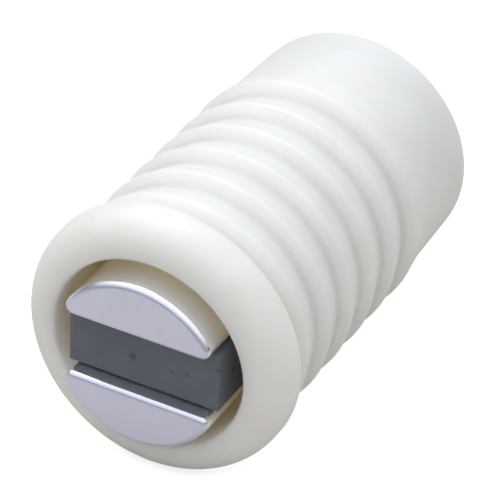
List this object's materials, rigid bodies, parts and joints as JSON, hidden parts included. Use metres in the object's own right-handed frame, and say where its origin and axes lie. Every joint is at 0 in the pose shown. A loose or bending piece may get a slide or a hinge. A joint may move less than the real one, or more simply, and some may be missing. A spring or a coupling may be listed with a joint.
{
  "type": "magnetic catch",
  "caption": "Press-in barrel magnetic catch: a barbed white plastic barrel with a domed collar that holds a floating magnet between two steel pole plates.",
  "frame": {"origin": "on the barrel's axis, in the plane of the collar's seat, which is the panel's surface when the catch is fitted", "axes": "+Y along the barrel's axis from the pole faces to the rear cap, +Z square to the flat faces of the magnet, +X along the magnet's width"},
  "size_m": [0.0154, 0.0252, 0.0154],
  "materials": {
    "barrel_plastic": "satin moulded nylon, slightly translucent white",
    "cap_plastic": "satin moulded nylon",
    "pole_steel": "zinc-plated mild steel, tumbled edges",
    "ferrite": "matt sintered ferrite, blue-grey"
  },
  "bodies": {
    "barrel": {"barrel_housing": "barrel_plastic", "rear_cap": "cap_plastic"},
    "magnet": {"magnet_block": "ferrite"},
    "upper_pole": {"upper_pole_plate": "pole_steel"},
    "lower_pole": {"lower_pole_plate": "pole_steel"}
  },
  "joints": [
    {"name": "magnet_float", "type": "slide", "parent": "barrel", "child": "magnet", "axis": [0, 1, 0], "range_m": [0, 0.0008]},
    {"name": "upper_pole_slip", "type": "slide", "parent": "magnet", "child": "upper_pole", "axis": [0, 1, 0], "range_m": [0, 0.0004]},
    {"name": "lower_pole_slip", "type": "slide", "parent": "magnet", "child": "lower_pole", "axis": [0, 1, 0], "range_m": [0, 0.0004]}
  ]
}
